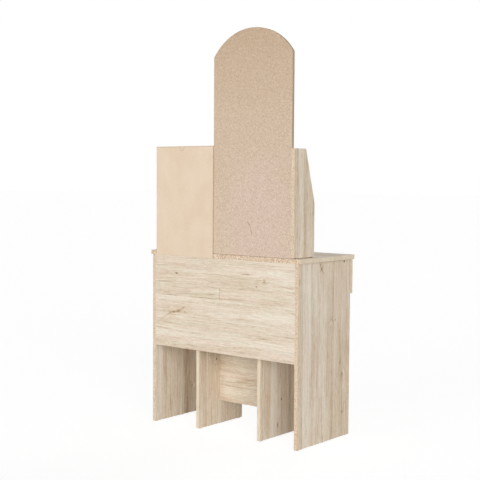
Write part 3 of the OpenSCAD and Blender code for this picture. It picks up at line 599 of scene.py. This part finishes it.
def read_points(piece):
    """The piece's points as an array of one row each."""
    points = np.empty(len(piece.data.vertices) * 3)
    piece.data.vertices.foreach_get("co", points)
    return points.reshape(-1, 3)


def swap_mesh(piece, material):
    """Applies the piece's modifiers by taking its evaluated mesh."""
    shown = piece.evaluated_get(bpy.context.evaluated_depsgraph_get())
    mesh = bpy.data.meshes.new_from_object(shown)
    piece.modifiers.clear()
    piece.data = mesh
    mesh.materials.clear()
    mesh.materials.append(material)
    mesh.shade_smooth()


def swell(piece):
    """Blows the skin up like a stuffed cover, with no gravity."""
    scene = bpy.context.scene
    scene.frame_start, scene.frame_end = 1, SWELL_FRAMES
    cloth = piece.modifiers.new("cover", "CLOTH")
    cloth.settings.quality = 5
    cloth.settings.use_pressure = True
    cloth.settings.uniform_pressure_force = 4.0
    cloth.settings.effector_weights.gravity = 0.0
    cloth.settings.tension_stiffness = cloth.settings.compression_stiffness = 15.0
    cloth.point_cache.frame_start, cloth.point_cache.frame_end = 1, SWELL_FRAMES
    for step in range(1, SWELL_FRAMES + 1):
        scene.frame_set(step)
    swap_mesh(piece, piece.data.materials[0])
    scene.frame_set(1)


def piping(pad, cloth):
    """Piping 5 mm thick round the cushion's upper rim: a circle carried along the rim's outline."""
    points = read_points(pad)
    low, high = points.min(axis=0), points.max(axis=0)
    middle = (low + high) / 2
    height = low[2] + PIPING_LEVEL * (high[2] - low[2])
    belt = points[np.abs(points[:, 2] - height) < RIM_BELT] - (middle[0], middle[1], 0.0)
    bearing = np.arctan2(belt[:, 1], belt[:, 0])
    reach = np.hypot(belt[:, 0], belt[:, 1])
    steps = np.linspace(-math.pi, math.pi, 180, endpoint=False)
    gap = np.abs((bearing[None, :] - steps[:, None] + math.pi) % (2 * math.pi) - math.pi)
    weight = np.exp(-(gap / RIM_SPREAD) ** 2) * (reach[None, :] > 0.1)
    radius = (weight * reach).sum(axis=1) / np.maximum(weight.sum(axis=1), 1e-9)
    path = np.stack([middle[0] + radius * np.cos(steps), middle[1] + radius * np.sin(steps),
                     np.full_like(steps, height)], -1)
    ahead = np.roll(path, -1, axis=0) - np.roll(path, 1, axis=0)
    ahead /= np.linalg.norm(ahead, axis=1, keepdims=True)
    out = np.cross(ahead, (0.0, 0.0, 1.0))
    turn = np.linspace(0.0, 2 * math.pi, 12, endpoint=False)
    grid = (path[:, None, :] + PIPING_RADIUS * np.cos(turn)[None, :, None] * out[:, None, :]
            + PIPING_RADIUS * np.sin(turn)[None, :, None] * np.array([0.0, 0.0, 1.0]))
    return surface("seat_piping", grid, cloth, closed_u=True, closed_v=True)


# ---------------------------------------------------------------- studio

WHITE = (1.0, 1.0, 1.0, 1.0)
FLOOR_HALF = 60.0
LAMP_ANGLE = math.radians(40.0)
LAMPS = (("key beside the camera", 50.0, 11.0, 1.81),     # bearing, height and strength
         ("fill on the back", -5.0, 8.0, 1.27),
         ("fill on the front", 180.0, 12.0, 1.35))


def grey(level):
    """A plain grey."""
    return (level, level, level, 1.0)


def emptied(owner):
    """The owner's node tree with nothing in it."""
    owner.use_nodes = True
    owner.node_tree.nodes.clear()
    return owner.node_tree


def seen_as_background(tree):
    """1 for rays from the camera, or from metal or glass."""
    path = add(tree, "LightPath").outputs
    seen = add(tree, "Math", [path["Is Camera Ray"], path["Is Glossy Ray"]], operation="MAXIMUM")
    return add(tree, "Math", [seen, path["Is Transmission Ray"]], operation="MAXIMUM")


def studio():
    """A pale floor, a white surround and three wide, soft lamps.

    A lamp's bearing is measured from straight behind the table towards its left side.
    """
    half = FLOOR_HALF
    floor_mesh = bpy.data.meshes.new("floor")
    corners = [(-half, -half, 0), (half, -half, 0), (half, half, 0), (-half, half, 0)]
    floor_mesh.from_pydata(corners, [], [(0, 1, 2, 3)])
    floor = bpy.data.objects.new("floor", floor_mesh)
    bpy.context.collection.objects.link(floor)
    material = bpy.data.materials.new("pale floor")
    tree = emptied(material)
    glow = add(tree, "Emission", {"Color": WHITE, "Strength": 0.86})
    soft = add(tree, "BsdfDiffuse", {"Color": grey(0.25)})
    white = add(tree, "AddShader", {0: soft, 1: glow})
    matt = add(tree, "BsdfDiffuse", {"Color": grey(0.8)})
    both = add(tree, "MixShader", {0: seen_as_background(tree), 1: matt, 2: white})
    add(tree, "OutputMaterial", {"Surface": both})
    floor_mesh.materials.append(material)

    world = bpy.data.worlds.new("surround")
    bpy.context.scene.world = world
    tree = emptied(world)
    way = add(tree, "TexCoord").outputs["Generated"]
    up = add(tree, "SeparateXYZ", {"Vector": way}).outputs["Z"]
    dimmer = add(tree, "MapRange", [up, 0.5, 0.8, 0.43, 0.1])
    light = add(tree, "Background", {"Color": WHITE, "Strength": dimmer})
    white = add(tree, "Background", {"Color": WHITE, "Strength": 1.0})
    both = add(tree, "MixShader", {0: seen_as_background(tree), 1: light, 2: white})
    add(tree, "OutputWorld", {"Surface": both})

    for name, bearing, height, strength in LAMPS:
        lamp = bpy.data.lights.new(name, "SUN")
        lamp.energy = strength
        lamp.angle = LAMP_ANGLE
        sun = bpy.data.objects.new(name, lamp)
        turn, lift = math.radians(bearing), math.radians(height)
        towards = Vector((-math.sin(turn) * math.cos(lift), math.cos(turn) * math.cos(lift),
                          math.sin(lift)))
        sun.rotation_mode = "QUATERNION"
        sun.rotation_quaternion = towards.to_track_quat("Z", "Y")
        sun.visible_glossy = name != "fill on the front"      # the mirror faces this lamp
        bpy.context.collection.objects.link(sun)
    bpy.context.scene.view_settings.view_transform = "Standard"


# ---------------------------------------------------------------- dressing the pieces

def dress_boards():
    """Every laminated board gets its own run of the print."""
    dress(oak_laminate("oak laminate, back panel", "X", "Y", seed=1.3, bands=0.55,
                       rows=[(330, 0.48), (371, 0.52), (386, 0.565), (411, 0.52), (438, 0.49),
                             (462, 0.52), (540, 0.54), (560, 0.495, 11, 0.525), (610, 0.49),
                             (650, 0.505), (673, 0.51)],
                       knots=[(250, 658, 9, 4, 12, 0.42), (-222, 654, 8, 12, 0, 0.17),
                              (-182, 630, 5, 4, 0, 0.42)],
                       cracks=[(312, 620, 58, 1.8, -1, 0.3), (170, 618, 90, 1.6, 2.4, 0.15),
                               (50, 611, 42, 1.8, 5, 0.24), (3, 603, 10, 2.4, 32, 0.19),
                               (72, 636, 72, 2.0, 13, 0.08), (290, 563, 82, 1.8, -2, 0.23),
                               (95, 564, 92, 2.0, -0.5, 0.26), (-70, 568, 88, 1.8, -2, 0.18),
                               (-132, 675, 34, 2.0, 0, 0.5), (-198, 656, 20, 2.6, -2, 0.15),
                               (313, 471, 34, 3.2, -28, 0.14), (288, 486, 13, 5.0, -15, 0.22),
                               (266, 491, 13, 6.5, -12, 0.22), (239, 498, 16, 6.5, -18, 0.23),
                               (215, 510, 20, 4.6, -35, 0.2), (205, 499, 12, 4.4, 40, 0.17),
                               (185, 487, 22, 3.4, 11, 0.1), (180, 520, 26, 2.4, -30, 0.1),
                               (225, 528, 40, 2.2, -12, 0.1), (325, 417, 48, 2.2, 4, 0.16),
                               (235, 411, 58, 2.2, 3, 0.2), (145, 411, 46, 2.2, -3.5, 0.22),
                               (-20, 470, 48, 1.8, 0, 0.18), (-210, 470, 88, 1.8, 0, 0.2),
                               (-223, 423, 46, 2.4, -2, 0.26), (-15, 449, 60, 1.8, -4, 0.12),
                               (-120, 377, 80, 1.8, -2, 0.16), (-60, 365, 28, 2.0, -24, 0.14),
                               (170, 358, 40, 2.0, 3, 0.12)],
                       patches=[(-250, 688, 160, 18, 0, -0.12), (-335, 660, 60, 16, 0, -0.1),
                                (256, 495, 58, 12, -20, 0.05), (300, 380, 100, 8, 0, 0.05),
                                (-250, 364, 120, 9, 0, -0.04), (-110, 497, 190, 10, 0, -0.06),
                                (230, 625, 120, 12, 0, 0.04), (220, 692, 110, 11, 0, 0.07),
                                (-60, 624, 130, 18, 3, 0.06), (-110, 647, 90, 10, 0, 0.06),
                                (-178, 649, 16, 9, 0, 0.07), (110, 574, 240, 9, 0, 0.07),
                                (-220, 565, 160, 7, 0, 0.12), (0, 548, 160, 7, 0, 0.06),
                                (200, 536, 200, 9, 0, 0.06), (-280, 510, 120, 32, 0, -0.07),
                                (0, 500, 90, 20, 0, -0.05), (190, 500, 45, 18, 0, 0.02),
                                (330, 486, 50, 14, 0, 0.03), (60, 470, 170, 8, 0, 0.06),
                                (100, 444, 180, 8, 0, 0.05), (345, 448, 50, 12, 0, 0.05),
                                (190, 421, 120, 8, 0, -0.05), (-240, 428, 120, 12, 0, 0.06),
                                (-200, 391, 130, 8, 0, -0.06), (330, 362, 70, 12, 0, 0.07),
                                (100, 352, 260, 8, 0, 0.06)]),
          "back_panel")
    side_print = dict(along="Z", through="X", raw=True)
    dress(oak_laminate("oak laminate, left side panel", seed=4.1, bands=0.55, **side_print,
                       rows=[(-170, 0.455), (-118, 0.445), (-70, 0.49), (-48, 0.42), (-22, 0.475),
                             (8, 0.51), (66, 0.50), (115, 0.565), (168, 0.46), (178, 0.43)],
                       knots=[(660, 192, 18, 5, 0, 0.15), (312, -93, 13, 9, 0, 0.1),
                              (260, -110, 11, 12, 0, 0.17), (66, 30, 16, 9, 0, 0.1)],
                       cracks=[(704, 44, 32, 4.2, 33, 0.28), (704, 44, 22, 4.2, -38, 0.26),
                               (722, 51, 8, 5, 40, 0.26), (490, -55, 5, 6, 0, 0.24),
                               (725, -116, 8, 6, 0, 0.6), (345, -128, 12, 2.6, 0, 0.22),
                               (104, -111, 6, 8, 0, 0.24), (62, 62, 32, 2.4, 3, 0.24),
                               (20, 29, 14, 2.2, 0, 0.4), (570, -69, 170, 2.2, 0, -0.1),
                               (500, -22, 240, 1.8, 0, 0.16), (380, 135, 300, 1.8, 0, 0.07),
                               (400, -45, 260, 1.8, 0, 0.08)],
                       patches=[(292, -118, 26, 8, 0, -0.09), (232, -124, 26, 10, 0, -0.1),
                                (230, -92, 200, 20, 0, 0.08), (110, -38, 130, 13, 0, 0.03),
                                (502, -33, 9, 12, 0, 0.1), (482, -28, 8, 12, 0, -0.08),
                                (620, 85, 110, 22, 0, -0.07), (560, 40, 70, 20, 0, -0.05),
                                (250, 42, 70, 20, 0, -0.06), (68, 28, 26, 10, 0, -0.12),
                                (300, 105, 240, 9, 0, 0.06), (40, 90, 40, 30, 0, 0.06),
                                (560, 130, 130, 16, 0, -0.05), (230, 140, 90, 9, 0, -0.06)]),
          "side_panel_left")
    dress(oak_laminate("oak laminate, right side panel", seed=5.2, bands=0.7, **side_print,
                       # the dark stave from -30 to 12 mm across, with its sharp edge at 12 mm, is
                       # partly print and partly painted shadow on this inner face
                       rows=[(-170, 0.43), (-30, 0.35), (-14, 0.3), (12, 0.39), (26, 0.48),
                             (54, 0.45), (82, 0.475), (96, 0.42), (110, 0.48), (126, 0.44),
                             (140, 0.51), (153, 0.56)],
                       cracks=[(70, 104, 40, 2.4, 0, 0.3), (125, -38, 8, 4, 0, 0.3)],
                       patches=[(110, -50, 12, 9, 0, -0.14), (190, -40, 50, 14, 0, -0.05)]),
          "side_panel_right")
    dress(oak_laminate("oak laminate, tabletop", "X", "Z", seed=7.7, raw=True, contrast=1.0,
                       rows=[(-180, 0.47, 120, 0.5), (-90, 0.51, -200, 0.48), (-20, 0.48, 40, 0.52),
                             (60, 0.53, -90, 0.49), (130, 0.48, 210, 0.50)],
                       knots=[(150, -60, 16, 8, 0, 0.25), (-240, 30, 12, 7, 0, 0.25)]),
          "tabletop")
    dress(oak_laminate("oak laminate, uprights", "Z", "X", seed=9.2, raw=True,
                       rows=[(60, 0.48), (95, 0.47), (110, 0.43), (134, 0.49), (142, 0.545),
                             (166, 0.48), (175, 0.44)],
                       cracks=[(960, 136, 190, 1.6, 0, 0.22), (900, 168, 150, 1.6, 0, 0.16)],
                       patches=[(930, 124, 110, 9, 0, 0.04), (1090, 180, 90, 8, 0, 0.08)]),
          "mirror_upright", "cabinet_upright_inner", "cabinet_upright_outer")
    dress(oak_laminate("oak laminate, shelves", "X", "Z", seed=12.4, raw=True,
                       rows=[(60, 0.48, 200, 0.52), (120, 0.53, 90, 0.49), (165, 0.48, 300, 0.5)]),
          "cabinet_top", "cabinet_shelf_lower", "cabinet_shelf_upper", "drawer_deck")
    dress(oak_laminate("oak laminate, divider", "Y", "X", seed=14.4, raw=True), "drawer_divider")
    for side, seed, knots in (("left", 16.3, [(-110, 665, 14, 7, 0, 0.25)]),
                              ("right", 21.9, [(285, 640, 12, 6, 0, 0.25)])):
        dress(oak_laminate("oak laminate, %s drawer front" % side, "X", "Y", seed=seed, knots=knots,
                           rows=[(585, 0.48, 40, 0.5), (627, 0.53, -190, 0.49),
                                 (690, 0.48, 260, 0.51)]),
              side + "_drawer_front")
    dress(oak_laminate("oak laminate, drawer sides", "Y", "X", seed=25.5, raw=True),
          *[s + "_drawer_side_" + e for s in ("left", "right") for e in ("inner", "outer")])
    dress(oak_laminate("oak laminate, drawer ends", "X", "Y", seed=27.1),
          *[s + "_drawer_" + e for s in ("left", "right") for e in ("box_front", "back")])
    dress(oak_laminate("oak laminate, left stool leg", "Z", "X", seed=31.0,
                       rows=[(-110, 0.5), (-28, 0.4), (-12, 0.46), (0, 0.57), (13, 0.53),
                             (28, 0.51), (44, 0.54), (68, 0.61), (113, 0.47), (142, 0.53),
                             (156, 0.46)],
                       knots=[(49, 62, 14, 8, 0, 0.26)],
                       cracks=[(152, 38, 7, 4, 12, 0.55), (190, 72, 5, 3, 0, 0.3),
                               (240, 52, 50, 3, -8, 0.16)]),
          "stool_leg_left")
    dress(oak_laminate("oak laminate, right stool leg", "Z", "X", seed=32.7, bands=0.8,
                       rows=[(-110, 0.44), (-60, 0.47), (-10, 0.44), (44, 0.47), (58, 0.42),
                             (104, 0.46), (132, 0.44), (154, 0.48)],
                       cracks=[(287, 68, 8, 3.6, 0, 0.5), (262, 73, 5, 3, 0, 0.35)]),
          "stool_leg_right")
    dress(oak_laminate("oak laminate, stool cross panel", "X", "Y", seed=34.6, bands=0.8,
                       rows=[(100, 0.45), (122, 0.46), (142, 0.48), (156, 0.51), (168, 0.46),
                             (192, 0.43), (204, 0.48), (240, 0.47), (252, 0.43), (276, 0.47),
                             (330, 0.48)],
                       cracks=[(90, 278, 60, 2.6, 4, -0.12), (40, 235, 90, 2.2, 4, -0.1),
                               (30, 192, 90, 2.4, -6, 0.16), (-10, 205, 60, 3.0, -10, 0.12),
                               (60, 172, 70, 2.2, 0, 0.14)],
                       patches=[(90, 215, 60, 20, 0, -0.1), (-20, 205, 60, 20, 0, 0.06),
                                (100, 148, 60, 14, 0, -0.1)]),
          "stool_cross_panel")
    dress(oak_laminate("oak laminate, stool seat", "X", "Z", seed=37.2), "stool_seat")
    dress(bare_fibreboard(), "mirror_board")
    dress(thin_hardboard(), "cabinet_back_sheet", "left_drawer_bottom", "right_drawer_bottom")
    dress(silvered_glass(), "mirror_glass")


def dress_fittings():
    """Metal, plastic and wooden fittings."""
    dress(plated_metal("zinc die casting", "#c9cbcc", "#a4a6a8", 0.42),
          "carcass_cam_locks", "stool_cam_locks")
    dress(plated_metal("bright zinc plate", "#d2d4d3", "#b4b7b8", 0.32),
          "carcass_cam_bolts", "stool_cam_bolts", "upright_screws", "shelf_pins",
          "slide_wall_screws", "left_drawer_screws", "right_drawer_screws")
    dress(plated_metal("brassed nail", "#e0cda8", "#c4ae84", 0.4), "sheet_nails")
    dress(plated_metal("rolled slide steel", "#c3c6c8", "#a9acaf", 0.36, brush=(1.0, 0.05, 1.0)),
          "slide_outer_members", "left_slide_middle_members", "right_slide_middle_members",
          "left_drawer_slide_members", "right_drawer_slide_members")
    dress(turned_beech(), "carcass_dowels", "cabinet_top_dowels", "mirror_dowels", "stool_dowels")
    dress(moulded("white moulded nylon", "#eceae4", "#dedbd3", 0.5), "table_glides", "stool_glides",
          "left_drawer_bumpers", "right_drawer_bumpers")
    dress(moulded("grey rubber", "#4a4945", "#3b3a37", 0.8), "upright_pads", "mirror_adhesive")
    nickel = plated_metal("satin nickel", "#cbc6bd", "#b3ada3", 0.3)
    for side in ("left", "right"):
        knob = turned_knob(side + "_knob", side + "_drawer_knob", nickel)
        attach(knob, side + "_drawer")
        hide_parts(side + "_drawer_knob")


def dress_stool():
    """The padded seat with its piping."""
    cloth = woven_cloth("oatmeal plain weave", "#e2d8c9", "#bdb09d")
    pad = stuffed_cushion(cloth)
    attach(pad, "stool")
    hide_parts("stool_cushion")
    cord = piping(pad, cloth)
    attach(cord, "stool")


place_camera()
studio()
dress_boards()
dress_fittings()
dress_stool()
